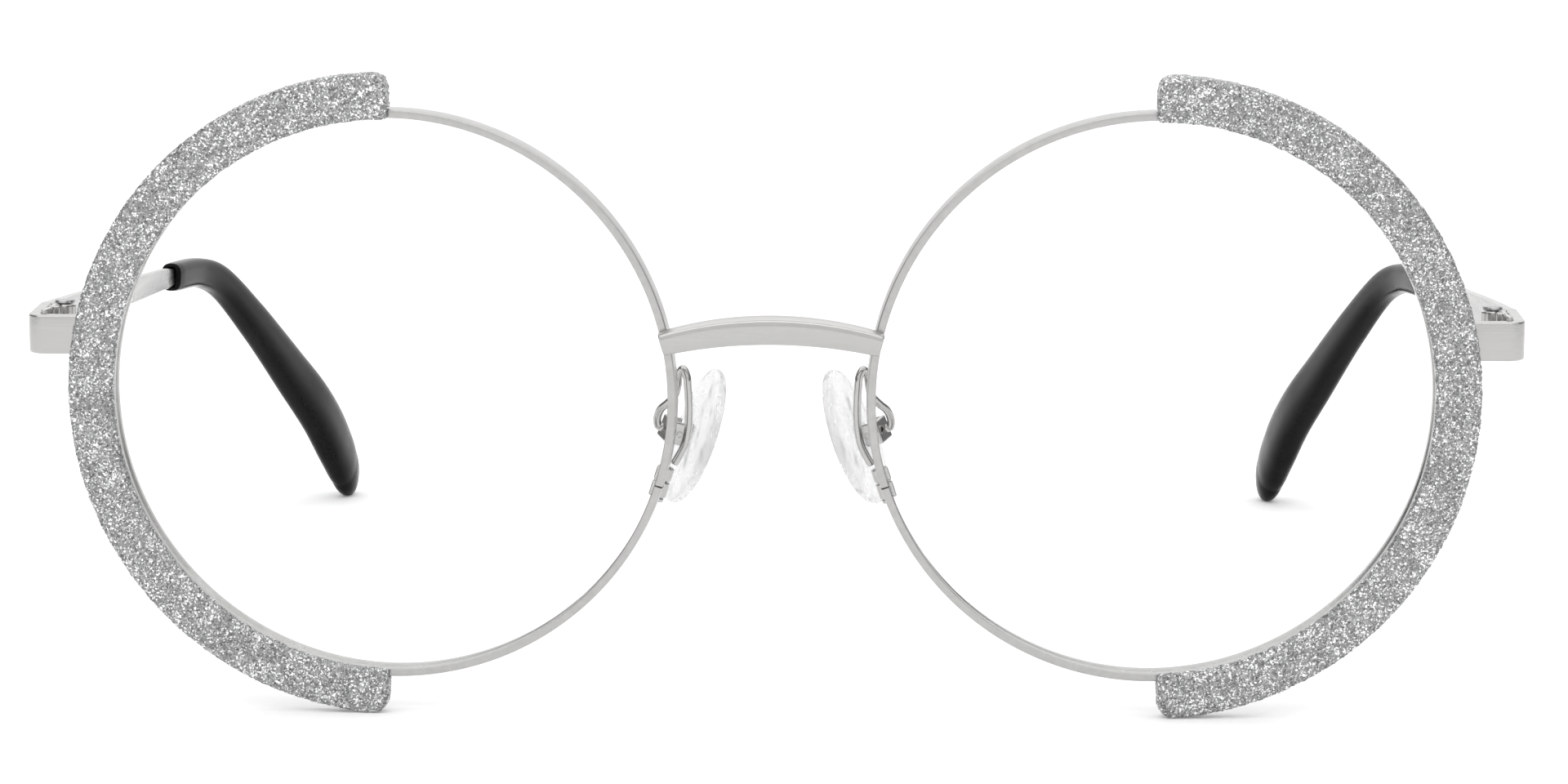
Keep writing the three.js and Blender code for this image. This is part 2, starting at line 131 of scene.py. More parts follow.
def round_poly(pts, r, seg=4):
    """A closed polygon with its corners rounded. r is one radius or one for each corner."""
    pts = np.asarray(pts, float)
    n = len(pts)
    rr = [r] * n if np.isscalar(r) else list(r)
    out = []
    for i in range(n):
        a, b, c = pts[i - 1], pts[i], pts[(i + 1) % n]
        if rr[i] <= 0:
            out.append(b)
            continue
        u, v = a - b, c - b
        lu, lv = np.linalg.norm(u), np.linalg.norm(v)
        u, v = u / lu, v / lv
        ang = math.acos(max(-1, min(1, u @ v)))
        d = min(rr[i] / math.tan(ang / 2), 0.46 * lu, 0.46 * lv)
        rad_ = d * math.tan(ang / 2)
        cen = b + unit(u + v) * rad_ / math.sin(ang / 2)
        s, e = b + u * d - cen, b + v * d - cen
        tot = math.acos(max(-1, min(1, (s @ e) / (rad_ * rad_))))
        sg = 1 if (s[0] * e[1] - s[1] * e[0]) > 0 else -1
        for k in range(seg + 1):
            w = sg * tot * k / seg
            cw, sw = math.cos(w), math.sin(w)
            out.append(cen + np.array([s[0] * cw - s[1] * sw, s[0] * sw + s[1] * cw]))
    return np.array(out)


def rrect(w, h, r, seg=4):
    return round_poly([(-w / 2, -h / 2), (w / 2, -h / 2), (w / 2, h / 2), (-w / 2, h / 2)], r, seg)


def skin(rings, closed=False, caps=True):
    """Faces between equal rings of points."""
    n, k = len(rings), len(rings[0])
    V = np.vstack(rings)
    F = []
    for i in range(n if closed else n - 1):
        a, b = i * k, ((i + 1) % n) * k
        for j in range(k):
            j2 = (j + 1) % k
            F.append((a + j, a + j2, b + j2, b + j))
    if caps and not closed:
        F.append(tuple(range(k))[::-1])
        F.append(tuple(range((n - 1) * k, n * k)))
    return V, F


def lathe(section, n=96, a0=None, a1=None):
    """[r, y] points round the Y axis. With a0 and a1, an open arc with end caps."""
    sec = np.asarray(section, float)
    full = a0 is None
    aa = np.linspace(0, 2 * math.pi, n, endpoint=False) if full else np.linspace(a0, a1, n)
    rings = [np.c_[sec[:, 0] * math.cos(a), sec[:, 1], sec[:, 0] * math.sin(a)] for a in aa]
    return skin(rings, closed=full)


def pin(profile, n=48):
    """[r, z] profile from axis to axis, turned round Z."""
    V, F = [], []
    prof = [(r, z) for r, z in profile]
    idx = []
    for r, z in prof:
        if r < 1e-6:
            idx.append([len(V)])
            V.append((0, 0, z))
        else:
            idx.append(list(range(len(V), len(V) + n)))
            V += [(r * math.cos(2 * math.pi * k / n), r * math.sin(2 * math.pi * k / n), z) for k in range(n)]
    for a, b in zip(idx, idx[1:]):
        for k in range(n):
            k2 = (k + 1) % n
            if len(a) == 1 and len(b) == 1:
                continue
            if len(a) == 1:
                F.append((a[0], b[k2], b[k]))
            elif len(b) == 1:
                F.append((a[k], a[k2], b[0]))
            else:
                F.append((a[k], a[k2], b[k2], b[k]))
    return np.array(V), F


def hollow(r0, r1, z0, z1, bev=0.12, n=48):
    """A short tube round Z with bevelled edges."""
    sec = round_poly([(r0, z0), (r1, z0), (r1, z1), (r0, z1)], [0.04, bev, bev, 0.04], 3)
    rings = []
    for k in range(n):
        a = 2 * math.pi * k / n
        rings.append(np.c_[sec[:, 0] * math.cos(a), sec[:, 0] * math.sin(a), sec[:, 1]])
    return skin(rings, closed=True)


def slab(x0, y0, z0, x1, y1, z1, r=0.12, seg=3):
    """A box with all its edges rounded."""
    cx, cy, cz = (x0 + x1) / 2, (y0 + y1) / 2, (z0 + z1) / 2
    w, d, h = x1 - x0, y1 - y0, z1 - z0
    r = min(r, 0.45 * min(w, d, h))
    rings = []
    for k in range(seg + 1):
        a = math.pi / 2 * k / seg
        off = r * (1 - math.sin(a))
        sec = rrect(w - 2 * off, d - 2 * off, max(r - off, 0.01), 3)
        rings.append(np.c_[sec + (cx, cy), np.full(len(sec), cz - h / 2 + r - r * math.cos(a))])
    for k in range(seg + 1):
        a = math.pi / 2 * k / seg
        off = r * (1 - math.cos(a))
        sec = rrect(w - 2 * off, d - 2 * off, max(r - off, 0.01), 3)
        rings.append(np.c_[sec + (cx, cy), np.full(len(sec), cz + h / 2 - r + r * math.sin(a))])
    return skin(rings)


def join(*parts):
    V, F, o = [], [], 0
    for v, f in parts:
        V.append(np.asarray(v, float))
        F += [tuple(i + o for i in q) for q in f]
        o += len(v)
    return np.vstack(V), F


# ------------------------------------------------------------------ meshes in Blender
def to_mesh(name, V, F):
    me = bpy.data.meshes.new(name)
    me.from_pydata([tuple(map(float, v)) for v in V], [], [tuple(map(int, f)) for f in F])
    me.validate()
    me.update()
    bm = bmesh.new()
    bm.from_mesh(me)
    bmesh.ops.recalc_face_normals(bm, faces=bm.faces)
    bm.to_mesh(me)
    bm.free()
    return me


def apply_mods(me, mods):
    """Runs modifiers on a mesh in millimetres and gives back the evaluated mesh."""
    ob = bpy.data.objects.new("tmp_work", me)
    bpy.context.scene.collection.objects.link(ob)
    for kind, kw in mods:
        m = ob.modifiers.new(kind, kind)
        for k, v in kw.items():
            setattr(m, k, v)
    dg = bpy.context.evaluated_depsgraph_get()
    dg.update()
    out = bpy.data.meshes.new_from_object(ob.evaluated_get(dg))
    bpy.data.objects.remove(ob)
    return out


def fused(name, parts, voxel=0.05, smooth=3, keep=0.3):
    """Overlapping shells run into one cast-looking body."""
    V, F = join(*parts)
    me = to_mesh(name, V, F)
    me = apply_mods(me, [("REMESH", dict(mode="VOXEL", voxel_size=voxel)), ("SMOOTH", dict(iterations=smooth, factor=0.5))])
    return apply_mods(me, [("DECIMATE", dict(ratio=keep))])


def place(name, me, matrix, side, body, nodes, mat, angle=40):
    """A mesh in local millimetres goes to the row frame, mirrored for the wearer's right."""
    n = len(me.vertices)
    co = np.empty(n * 3)
    me.vertices.foreach_get("co", co)
    co = move(co.reshape(-1, 3), matrix)
    if side < 0:
        co[:, 0] *= -1
        me.flip_normals()
    me.vertices.foreach_set("co", (co * 0.001).ravel())
    me.update()
    me.polygons.foreach_set("use_smooth", [True] * len(me.polygons))
    me.set_sharp_from_angle(angle=rad(angle))
    me.materials.clear()
    me.materials.append(mat)
    ob = bpy.data.objects.new(name, me)
    bpy.context.scene.collection.objects.link(ob)
    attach(ob, body)
    if nodes:
        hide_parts(*nodes)
    return ob


# ------------------------------------------------------------------ materials
def material(name):
    m = bpy.data.materials.new(name)
    m.use_nodes = True
    nt = m.node_tree
    return m, nt, nt.nodes["Principled BSDF"]


def node(nt, kind, **kw):
    n = nt.nodes.new(kind)
    for k, v in kw.items():
        if k in n.inputs:
            n.inputs[k].default_value = v
        else:
            setattr(n, k, v)
    return n


def ramp(nt, stops, interpolation="LINEAR"):
    n = nt.nodes.new("ShaderNodeValToRGB")
    cr = n.color_ramp
    cr.interpolation = interpolation
    while len(cr.elements) < len(stops):
        cr.elements.new(0.5)
    for e, (p, c) in zip(cr.elements, stops):
        e.position = p
        e.color = (c, c, c, 1) if np.isscalar(c) else (*c, 1)
    return n


def coords(nt, scale=(1, 1, 1)):
    t = nt.nodes.new("ShaderNodeTexCoord")
    mp = nt.nodes.new("ShaderNodeMapping")
    mp.inputs["Scale"].default_value = scale
    nt.links.new(t.outputs["Object"], mp.inputs["Vector"])
    return mp.outputs["Vector"]


def metal(name, base, rough, stretch=(1, 1, 1), scale=900.0, bump=0.02, wear=0.05):
    m, nt, b = material(name)
    L = nt.links.new
    v = coords(nt, stretch)
    n1 = node(nt, "ShaderNodeTexNoise", Scale=scale, Detail=4.0, Roughness=0.6)
    L(v, n1.inputs["Vector"])
    cr = ramp(nt, [(0.3, tuple(c * (1 - wear) for c in base)), (0.7, tuple(min(1, c * (1 + wear)) for c in base))])
    L(n1.outputs["Fac"], cr.inputs["Fac"])
    L(cr.outputs["Color"], b.inputs["Base Color"])
    n2 = node(nt, "ShaderNodeTexNoise", Scale=scale * 0.23, Detail=3.0)
    L(v, n2.inputs["Vector"])
    rr = ramp(nt, [(0.3, max(0.02, rough - 0.05)), (0.75, rough + 0.08)])
    L(n2.outputs["Fac"], rr.inputs["Fac"])
    L(rr.outputs["Color"], b.inputs["Roughness"])
    bp = node(nt, "ShaderNodeBump", Strength=bump, Distance=0.00003)
    L(n1.outputs["Fac"], bp.inputs["Height"])
    L(bp.outputs["Normal"], b.inputs["Normal"])
    b.inputs["Metallic"].default_value = 1.0
    return m


polished = metal("polished_silver", (0.46, 0.457, 0.451), 0.12, scale=1400, bump=0.05)
satin = metal("satin_silver", (0.44, 0.437, 0.431), 0.3, scale=1400, bump=0.05)
brushed = metal("brushed_silver", (0.47, 0.467, 0.46), 0.24, stretch=(1, 0.06, 1), scale=5200, bump=0.22, wear=0.03)
brushed_x = metal("brushed_silver_front", (0.455, 0.452, 0.445), 0.22, stretch=(0.06, 1, 1), scale=5200, bump=0.22, wear=0.03)
screw_mat = metal("screw_steel", (0.45, 0.45, 0.446), 0.26, scale=2600, bump=0.12)


def glitter():
    m, nt, b = material("glitter_acetate")
    L = nt.links.new
    v = coords(nt)
    cells = node(nt, "ShaderNodeTexVoronoi", Scale=5600.0, Randomness=1.0)
    fine = node(nt, "ShaderNodeTexVoronoi", Scale=9000.0, Randomness=1.0)
    clump = node(nt, "ShaderNodeTexNoise", Scale=620.0, Detail=3.0, Roughness=0.55)
    for n in (cells, fine, clump):
        L(v, n.inputs["Vector"])
    sep = nt.nodes.new("ShaderNodeSeparateColor")
    L(cells.outputs["Color"], sep.inputs["Color"])
    sep2 = nt.nodes.new("ShaderNodeSeparateColor")
    L(fine.outputs["Color"], sep2.inputs["Color"])
    # each flake has its own brightness, and flakes of a kind lie in loose clumps
    def shifted(channel, amount):
        c = node(nt, "ShaderNodeMapRange")
        c.inputs["From Min"].default_value = 0.3
        c.inputs["From Max"].default_value = 0.7
        c.inputs["To Min"].default_value = -amount
        c.inputs["To Max"].default_value = amount
        L(clump.outputs["Fac"], c.inputs["Value"])
        a = node(nt, "ShaderNodeMath", operation="ADD")
        L(channel, a.inputs[0])
        L(c.outputs["Result"], a.inputs[1])
        return a.outputs[0]
    g = lambda x: (x, x * 1.012, x * 1.012)
    big = ramp(nt, [(0.0, g(0.12)), (0.25, g(0.21)), (0.55, g(0.29)), (0.8, g(0.44)), (0.9, g(0.98)), (1.0, g(0.98))])
    L(shifted(sep.outputs["Red"], 0.1), big.inputs["Fac"])
    small = ramp(nt, [(0.0, g(0.14)), (0.45, g(0.25)), (0.78, g(0.42)), (0.91, g(0.98)), (1.0, g(0.98))])
    L(shifted(sep2.outputs["Green"], 0.1), small.inputs["Fac"])
    pick = node(nt, "ShaderNodeMath", operation="GREATER_THAN")
    L(sep.outputs["Blue"], pick.inputs[0])
    pick.inputs[1].default_value = 0.45
    mix = node(nt, "ShaderNodeMix", data_type="RGBA")
    L(pick.outputs[0], mix.inputs["Factor"])
    L(big.outputs["Color"], mix.inputs[6])
    L(small.outputs["Color"], mix.inputs[7])
    L(mix.outputs[2], b.inputs["Base Color"])
    # each flake lies at its own angle
    geo = nt.nodes.new("ShaderNodeNewGeometry")
    sub = node(nt, "ShaderNodeVectorMath", operation="SUBTRACT")
    L(cells.outputs["Color"], sub.inputs[0])
    sub.inputs[1].default_value = (0.5, 0.5, 0.5)
    sc = node(nt, "ShaderNodeVectorMath", operation="SCALE")
    L(sub.outputs["Vector"], sc.inputs[0])
    sc.inputs["Scale"].default_value = 0.75
    add = node(nt, "ShaderNodeVectorMath", operation="ADD")
    L(geo.outputs["Normal"], add.inputs[0])
    L(sc.outputs["Vector"], add.inputs[1])
    nor = node(nt, "ShaderNodeVectorMath", operation="NORMALIZE")
    L(add.outputs["Vector"], nor.inputs[0])
    L(nor.outputs["Vector"], b.inputs["Normal"])
    rr = ramp(nt, [(0.0, 0.5), (0.7, 0.35), (1.0, 0.15)])
    L(sep.outputs["Blue"], rr.inputs["Fac"])
    L(rr.outputs["Color"], b.inputs["Roughness"])
    b.inputs["Metallic"].default_value = 0.5
    b.inputs["Coat Weight"].default_value = 0.25
    b.inputs["Coat Roughness"].default_value = 0.1
    return m


glitter_mat = glitter()


def black():
    m, nt, b = material("black_plastic")
    L = nt.links.new
    v = coords(nt)
    n1 = node(nt, "ShaderNodeTexNoise", Scale=2200.0, Detail=5.0, Roughness=0.65)
    L(v, n1.inputs["Vector"])
    cr = ramp(nt, [(0.3, (0.002, 0.0021, 0.0022)), (0.72, (0.005, 0.0051, 0.0054))])
    L(n1.outputs["Fac"], cr.inputs["Fac"])
    L(cr.outputs["Color"], b.inputs["Base Color"])
    n2 = node(nt, "ShaderNodeTexNoise", Scale=260.0, Detail=2.0)
    L(v, n2.inputs["Vector"])
    rr = ramp(nt, [(0.3, 0.15), (0.7, 0.21)])
    b.inputs["Specular IOR Level"].default_value = 0.07
    L(n2.outputs["Fac"], rr.inputs["Fac"])
    L(rr.outputs["Color"], b.inputs["Roughness"])
    bp = node(nt, "ShaderNodeBump", Strength=0.06, Distance=0.00002)
    L(n1.outputs["Fac"], bp.inputs["Height"])
    L(bp.outputs["Normal"], b.inputs["Normal"])
    return m


black_mat = black()


def silicone():
    m, nt, b = material("clear_silicone")
    L = nt.links.new
    v = coords(nt, (1, 1, 0.14))
    n1 = node(nt, "ShaderNodeTexNoise", Scale=1100.0, Detail=3.0, Roughness=0.55)
    L(v, n1.inputs["Vector"])
    cr = ramp(nt, [(0.3, (0.55, 0.555, 0.555)), (0.39, (0.84, 0.845, 0.845)), (0.48, (0.97, 0.97, 0.97)), (0.75, (1.0, 1.0, 1.0))])
    L(n1.outputs["Fac"], cr.inputs["Fac"])
    L(cr.outputs["Color"], b.inputs["Base Color"])
    rr = ramp(nt, [(0.35, 0.16), (0.7, 0.34)])
    L(n1.outputs["Fac"], rr.inputs["Fac"])
    L(rr.outputs["Color"], b.inputs["Roughness"])
    bp = node(nt, "ShaderNodeBump", Strength=0.12, Distance=0.0001)
    L(n1.outputs["Fac"], bp.inputs["Height"])
    L(bp.outputs["Normal"], b.inputs["Normal"])
    b.inputs["Transmission Weight"].default_value = 0.66
    b.inputs["IOR"].default_value = 1.14
    return m


silicone_mat = silicone()


def core():
    m, nt, b = material("clear_core")
    L = nt.links.new
    n1 = node(nt, "ShaderNodeTexNoise", Scale=900.0, Detail=2.0)
    L(coords(nt), n1.inputs["Vector"])
    cr = ramp(nt, [(0.3, (0.9, 0.905, 0.905)), (0.7, (0.97, 0.97, 0.97))])
    L(n1.outputs["Fac"], cr.inputs["Fac"])
    L(cr.outputs["Color"], b.inputs["Base Color"])
    b.inputs["Roughness"].default_value = 0.2
    b.inputs["Transmission Weight"].default_value = 0.75
    b.inputs["IOR"].default_value = 1.16
    return m


core_mat = core()


def lens_material():
    m, nt, b = material("clear_lens")
    L = nt.links.new
    n1 = node(nt, "ShaderNodeTexNoise", Scale=60.0, Detail=1.0)
    L(coords(nt), n1.inputs["Vector"])
    cr = ramp(nt, [(0.3, (0.985, 0.99, 0.988)), (0.7, (1.0, 1.0, 1.0))])
    L(n1.outputs["Fac"], cr.inputs["Fac"])
    L(cr.outputs["Color"], b.inputs["Base Color"])
    b.inputs["Roughness"].default_value = 0.0
    b.inputs["Transmission Weight"].default_value = 1.0
    b.inputs["IOR"].default_value = 1.002
    return m


lens_mat = lens_material()

# ------------------------------------------------------------------ local paths
P3 = lambda *a: np.array(a, float)
to_front = np.linalg.inv(FRONT)
W = lambda x, y, z: move([[x, y - Y_MID, z]], to_front)[0]
in_hinge = lambda x, y, z: move([[x, y, z]], HINGE_L)[0]
outer_x = END_X - HINGE_X
inner = END_X - END_T - GAP - HINGE_X
TIP_PTS = [W(68.9, 82, 31.9), W(67.5, 92.5, 31.2), W(66.05, 98.6, 29.5), W(63.4, 106.5, 24.1), W(60.4, 115.0, 17.2), W(57.75, 122.0, 11.0)]
temple_path = Curve(
    [in_hinge(outer_x - END_T / 2, -0.1, 0), in_hinge(outer_x - END_T / 2, 7.4, 0), W(69.65, 34, 34.65), W(69.3, 60, 33.2)]
    + TIP_PTS + [W(56.75, 125.2, 7.95)]
)
tip_path = Curve(TIP_PTS + [W(55.75, 129.0, 3.75), W(55.2, 131.75, 0.5)])
arm_end = PAD_C - PAD_N * 3.62
arm_path = Curve(
    [(9.32, 2.05, -6.75), (8.85, 2.2, -6.0), (8.3, 2.4, -4.9), (7.98, 2.55, -3.3), (7.9, 2.65, -1.5), (7.98, 2.75, 0.4),
     (8.12, 2.85, 1.6), (8.46, 3.1, 2.2), (8.84, 3.4, 1.6), (9.02, 3.7, 0.4), (9.3, 4.05, -0.5), (9.95, 4.55, -1.3),
     (10.65, 5.15, -2.0), (11.05, 5.75, -3.0), (11.0, 6.15, -3.8), arm_end + (0.4, -0.2, 0.16), arm_end]
)


def table(rows):
    rows = np.asarray(rows, float)
    return lambda t: np.array([np.interp(t, rows[:, 0], rows[:, k]) for k in range(1, rows.shape[1])])


PL_ = temple_path.length
COVER_AT = 70.5 / PL_
temple_half = table([[0, END_T / 2, END_H / 2], [8 / PL_, END_T / 2, END_H / 2 - 0.05], [30 / PL_, 0.5, 1.45], [COVER_AT - 0.02, 0.45, 1.12], [COVER_AT + 0.02, 0.42, 0.8], [1, 0.4, 0.6]])
TIP_ROWS = [[0.0, 1.1, 1.5], [0.012, 1.2, 1.58], [0.16, 1.25, 1.62], [0.3, 1.4, 1.9], [0.5, 1.6, 2.5], [0.7, 1.8, 3.25], [0.84, 1.85, 3.7], [0.91, 1.75, 3.6], [0.955, 1.5, 3.0], [0.985, 1.05, 2.0], [1.0, 0.4, 0.8]]


def smooth_table(rows, width=0.03):
    base = table(rows)
    def f(t):
        s = [base(min(1, max(0, t + d))) for d in np.linspace(-width, width, 7)]
        return np.mean(s, axis=0)
    return f


def superellipse(a, b, p, n):
    th = np.linspace(0, 2 * math.pi, n, endpoint=False)
    c, s = np.cos(th), np.sin(th)
    return np.c_[a * np.sign(c) * np.abs(c) ** p, b * np.sign(s) * np.abs(s) ** p]


# ------------------------------------------------------------------ pieces
def rim():
    sec = round_poly(
        [(RIM_IN, 0.0), (RIM_R - 0.05, 0.0), (RIM_R, 0.5), (RIM_R, 2.0), (RIM_R - 0.05, RIM_DEPTH), (RIM_IN, RIM_DEPTH), (RIM_IN, 1.75), (26.66, 1.25), (RIM_IN, 0.75)],
        [0.12, 0.14, 0.2, 0.2, 0.14, 0.12, 0.05, 0.03, 0.05], 4)
    half = 0.075 / RIM_R
    a = -SPLIT  # the split, as an angle in x, z
    a = math.atan2(math.sin(SPLIT), math.cos(SPLIT))
    return to_mesh("rim", *lathe(sec, 361, a + half, a + 2 * math.pi - half))


def lens():
    sag = lambda r: r * r / (2 * LENS_SPHERE)
    flat = RIM_IN - 0.06  # the faces run right up to the eyewire, only the bevel is in its groove
    s0 = 0.45 - sag(LENS_FLAT)
    rs = np.linspace(0, flat, 26)
    prof = [(r, s0 + sag(r)) for r in rs] + [(26.09, 0.88), (LENS_R - 0.02, 1.22), (LENS_R - 0.02, 1.28), (26.09, 1.64)] + [(r, s0 + LENS_T + sag(r)) for r in rs[::-1]]
    V, F = pin(prof, 160)
    V = np.c_[V[:, 0], V[:, 2], V[:, 1]]
    return to_mesh("lens", V, F)


def bridge():
    """An arched bar with a crowned front: a broad roll under the upper edge and a flatter lower half."""
    Rr = (BRIDGE_HALF**2 + BRIDGE_RISE**2) / (2 * BRIDGE_RISE)
    amax = math.asin(BRIDGE_HALF / Rr)
    zc = BRIDGE_Z + BRIDGE_RISE - Rr
    n = 90
    u = np.linspace(-1, 1, n)
    P = np.c_[Rr * np.sin(u * amax), -2.2 - 0.55 * np.cos(u * math.pi / 2), zc + Rr * np.cos(u * amax)]
    Tn, U, Wd = frames(P, (0, 0, 1))
    f = 1.0 if Wd[n // 2][1] < 0 else -1.0  # towards the front
    h, t = BRIDGE_H / 2, BRIDGE_T / 2
    outline = [(-h, -t * 0.9), (h - 0.14, -t * 0.9), (h, -t * 0.55), (h - 0.1, t * 0.2), (h * 0.72, t * 0.86), (h * 0.3, t), (-h * 0.4, t * 0.8), (-h, t * 0.35)]
    sec = round_poly(outline, [0.15, 0.08, 0.16, 0.3, 0.5, 1.0, 1.2, 0.22], 6) * np.array([1, f])
    rings = []
    def ring(i, inset=0.0, push=0.0):
        w = BRIDGE_END + (BRIDGE_H - BRIDGE_END) * (1 - u[i] ** 2)
        s = sec * np.array([w / BRIDGE_H - inset / h, 1 - inset / t])
        return P[i] + Tn[i] * push + s[:, :1] * U[i] + s[:, 1:] * Wd[i]
    e = 0.16
    ks = [math.pi / 2 * k / 4 for k in range(5)]
    rings += [ring(0, e * (1 - math.sin(a)), e * (1 - math.cos(a))) for a in ks]
    rings += [ring(i) for i in range(2, n - 2)]
    rings += [ring(n - 1, e * (1 - math.sin(a)), -e * (1 - math.cos(a))) for a in ks[::-1]]
    return to_mesh("bridge", *skin(rings))


def crescent(node_name, seed):
    """The plastic crescent, with the rough faceted skin that packed glitter flakes give it."""
    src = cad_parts[node_name].data.copy()
    co = np.empty(len(src.vertices) * 3)
    src.vertices.foreach_get("co", co)
    src.vertices.foreach_set("co", co * 1000.0)
    src.update()
    me = apply_mods(src, [("REMESH", dict(mode="VOXEL", voxel_size=0.15)), ("SMOOTH", dict(iterations=2, factor=0.5))])
    n = len(me.vertices)
    co = np.empty(n * 3)
    me.vertices.foreach_get("co", co)
    co = co.reshape(-1, 3)
    no = np.empty(n * 3)
    me.vertices.foreach_get("normal", no)
    no = no.reshape(-1, 3)
    rng = np.random.default_rng(seed)
    area = sum(p.area for p in me.polygons)
    k = int(area / 0.1)
    seeds = co[rng.choice(n, min(k, n), replace=False)] + rng.normal(0, 0.03, (min(k, n), 3))
    kd = kdtree.KDTree(len(seeds))
    for i, s in enumerate(seeds):
        kd.insert(s, i)
    kd.balance()
    idx = np.array([kd.find(c)[1] for c in co])
    tilt = rng.normal(0, 1, (len(seeds), 3))
    tilt /= np.linalg.norm(tilt, axis=1)[:, None]
    tilt *= rng.uniform(0.05, 0.42, len(seeds))[:, None]
    h = rng.uniform(-0.05, 0.03, len(seeds))
    d = h[idx] + ((co - seeds[idx]) * tilt[idx]).sum(1)
    d = np.clip(d, -0.09, 0.055)
    co = co + no * d[:, None]
    me.vertices.foreach_set("co", co.ravel())
    me.update()
    return me


def closing_half(z0, z1):
    return fused("closing_half", [hollow(SCREW_R + 0.04, BLOCK_R, z0, z1, 0.12), slab(-0.9, -BLOCK_R - 0.06, z0, -0.35, 0.1, z1, 0.1)], 0.04, 2, 0.4)


def slotted_head(r, z, h, slot_w=0.26, slot_d=0.2, shaft=None):
    """A cheese head with a cut slot, on a shaft."""
    prof = [(0, z - h), (r * 0.9, z - h), (r, z - h * 0.8), (r, z - 0.12), (r - 0.04, z - 0.04), (r - 0.12, z), (0, z)]
    if shaft:
        sr, sz = shaft
        prof = [(0, sz), (sr - 0.08, sz), (sr, sz + 0.08), (sr, z - h), (r * 0.9, z - h), (r, z - h * 0.8), (r, z - 0.12), (r - 0.04, z - 0.04), (r - 0.12, z), (0, z)]
    me = to_mesh("screw", *pin(prof, 56))
    cut = to_mesh("cut", *slab(-2 * r, -slot_w / 2, z - slot_d, 2 * r, slot_w / 2, z + 1, 0.02))
    co = bpy.data.objects.new("tmp_cut", cut)
    bpy.context.scene.collection.objects.link(co)
    me = apply_mods(me, [("BOOLEAN", dict(operation="DIFFERENCE", object=co, solver="EXACT"))])
    bpy.data.objects.remove(co)
    return me


def turned(me, m):
    co = np.empty(len(me.vertices) * 3)
    me.vertices.foreach_get("co", co)
    me.vertices.foreach_set("co", move(co.reshape(-1, 3), m).ravel())
    me.update()
    return me


def pad_arm():
    n = 230
    P = arm_path.point(np.linspace(0, 1, n))
    keep = [0]
    for i in range(1, n):
        if np.linalg.norm(P[i] - P[keep[-1]]) > 0.05:
            keep.append(i)
    P = P[keep]
    Tn = np.gradient(P, axis=0)
    Tn /= np.linalg.norm(Tn, axis=1)[:, None]
    # a frame carried along without twist
    U = [unit(np.cross(Tn[0], (0.3, 1, 0.05)))]
    for i in range(1, len(P)):
        u = U[-1] - Tn[i] * (U[-1] @ Tn[i])
        U.append(unit(u))
    U = np.array(U)
    Wd = np.cross(U, Tn)
    m = 28
    rings = []
    L = len(P)
    for i in range(L):
        r = WIRE_R * (1.0 + 0.12 * math.exp(-((i - L) / 6.0) ** 2))
        e = min(i, L - 1 - i)
        if e < 3:
            r *= (0.72, 0.9, 0.97)[e]
        s = superellipse(r, r, 1.0, m)
        rings.append(P[i] + s[:, :1] * U[i] + s[:, 1:] * Wd[i])
    return to_mesh("pad_arm", *skin(rings))


def nose_pad():
    """Soft, slightly dished oval with a rounded edge."""
    nu, nv = 96, 56
    V, idx = [], []
    for j in range(nv + 1):
        phi = -math.pi / 2 + math.pi * j / nv
        row = []
        for i in range(nu):
            th = 2 * math.pi * i / nu
            # polar axis along y, so that the edge loops are smooth
            x, y, z = math.cos(phi) * math.cos(th), math.sin(phi), math.cos(phi) * math.sin(th)
            k = 1 - 0.1 * z
            r2 = x * x + z * z
            f = max(0.0, 1 - r2) ** 0.33 * (1 if y >= 0 else -1)
            if j in (0, nv):
                row.append(None)
                continue
            yy = f * (1.25 if y < 0 else 0.95) + 0.25 * r2
            row.append(len(V))
            V.append((x * 3.65 * k, yy, z * 6.8))
        if j in (0, nv):
            row = [len(V)] * nu
            V.append((0, -1.25 if j == 0 else 0.95, 0))
        idx.append(row)
    F = []
    for j in range(nv):
        for i in range(nu):
            a, b, c, d = idx[j][i], idx[j][(i + 1) % nu], idx[j + 1][(i + 1) % nu], idx[j + 1][i]
            q = []
            for w in (a, b, c, d):
                if w not in q:
                    q.append(w)
            if len(q) > 2:
                F.append(tuple(q))
    me = to_mesh("nose_pad", V, F)
    cut = to_mesh("cut", *slab(-0.75, 0.45, -1.15, 0.75, 2.0, 1.15, 0.1))
    co = bpy.data.objects.new("tmp_cut", cut)
    bpy.context.scene.collection.objects.link(co)
    me = apply_mods(me, [("BOOLEAN", dict(operation="DIFFERENCE", object=co, solver="EXACT"))])
    bpy.data.objects.remove(co)
    return me


def pad_core():
    return fused("pad_core", [slab(-0.66, 0.55, -1.06, 0.66, 1.44, 1.06, 0.15), slab(-0.49, 1.0, -0.64, 0.49, 2.84, 0.64, 0.2)], 0.05, 2, 0.4)


def pad_box():
    return fused("pad_box", [slab(-1.1, 1.6, -1.1, -0.61, 3.5, 1.1, 0.15), slab(0.61, 1.6, -1.1, 1.1, 3.5, 1.1, 0.15), slab(-1.1, 3.08, -1.1, 1.1, 3.5, 1.1, 0.12)], 0.05, 2, 0.45)


